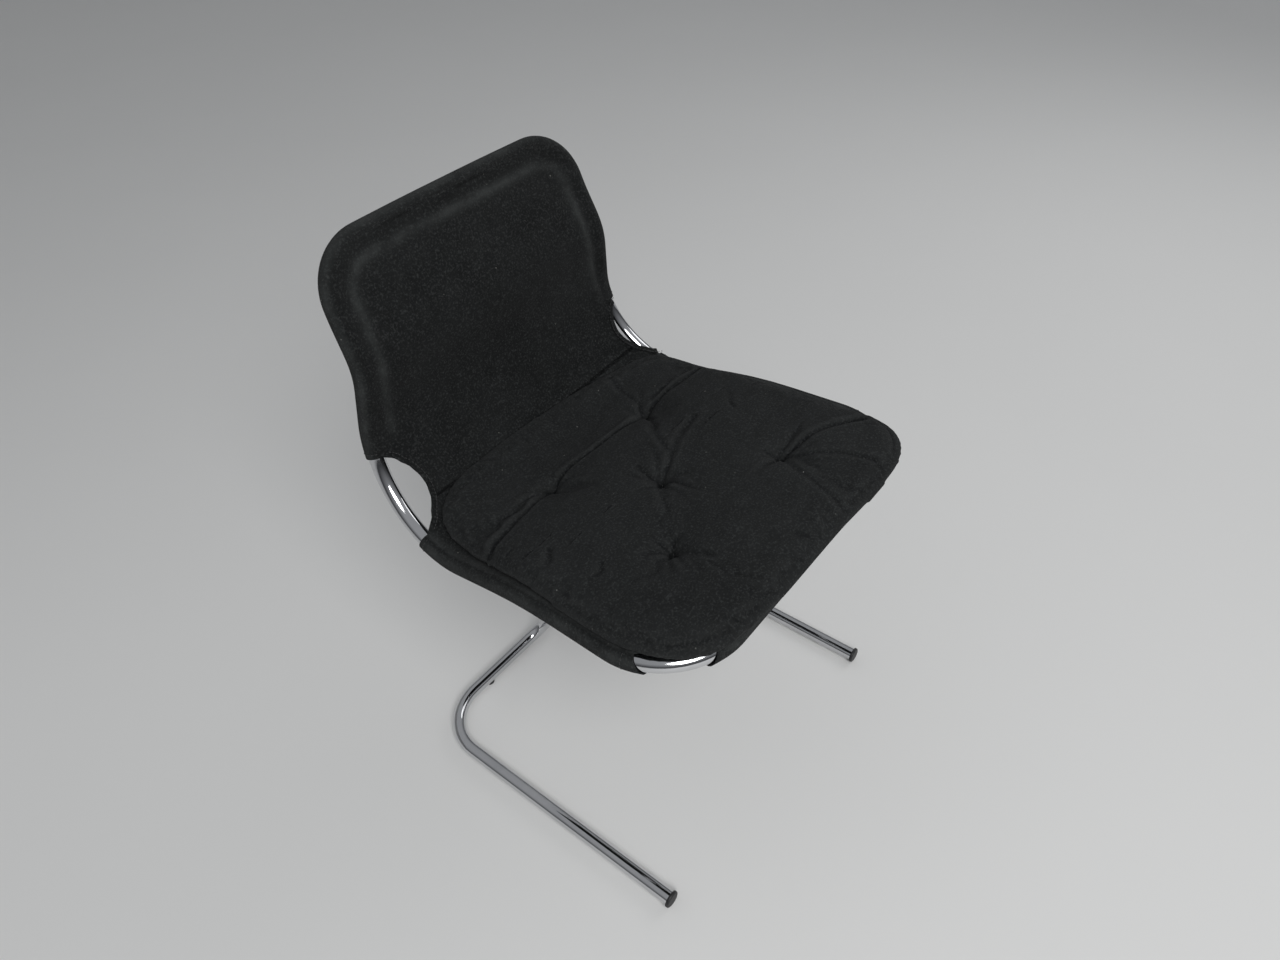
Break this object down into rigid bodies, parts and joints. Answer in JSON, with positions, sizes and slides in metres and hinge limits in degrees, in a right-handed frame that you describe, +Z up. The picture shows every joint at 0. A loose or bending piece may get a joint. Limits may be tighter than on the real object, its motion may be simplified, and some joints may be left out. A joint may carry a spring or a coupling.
{
  "type": "cantilever chair",
  "caption": "Cantilever chair on a bent chromed-tube base, with a stretched canvas seat and back and a loose tufted seat cushion.",
  "frame": {"origin": "on the floor, under the middle of the chair's box", "axes": "+Z up, the front of the seat faces -Y, +X towards the sitter's left"},
  "size_m": [0.476, 0.498, 0.7399],
  "materials": {
    "chromed_tube": "polished chrome plate",
    "chromed_weld": "chrome plate over a weld",
    "chromed_saddle": "polished chrome plate",
    "bare_steel": "drawn steel",
    "zinc_steel": "zinc plate",
    "black_plastic": "moulded",
    "black_canvas": "plain-woven cotton canvas, slightly faded",
    "cushion_canvas": "plain-woven cotton canvas, slightly faded",
    "foam": "open-cell foam",
    "tie_thread": "twisted thread"
  },
  "bodies": {
    "chair": {"seat_frame_left": "chromed_tube", "seat_frame_right": "chromed_tube", "joint_spigot_front": "bare_steel", "joint_spigot_top": "bare_steel", "joint_rivets": "bare_steel", "base_tube_left": "chromed_tube", "base_tube_right": "chromed_tube", "stem_weld_beads": "chromed_weld", "floor_end_plug_left": "black_plastic", "floor_end_plug_right": "black_plastic", "rear_glide_left": "black_plastic", "rear_glide_right": "black_plastic", "arm_saddle_left": "chromed_saddle", "arm_saddle_right": "chromed_saddle", "saddle_washers": "zinc_steel", "mounting_screws": "zinc_steel", "rivet_nuts": "zinc_steel", "seat_side_sleeve_left": "black_canvas", "seat_side_sleeve_right": "black_canvas", "seat_front_sleeve": "black_canvas", "seat_sling": "black_canvas", "back_edge_sleeve": "black_canvas", "back_front_panel": "black_canvas", "back_rear_panel": "black_canvas"},
    "cushion": {"cushion_cover": "cushion_canvas", "cushion_foam": "foam", "tuft_ties": "tie_thread"}
  },
  "joints": [
    {"name": "cushion_lift", "type": "slide", "parent": "chair", "child": "cushion", "axis": [0, 0, 1], "range_m": [0, 0.15]}
  ]
}
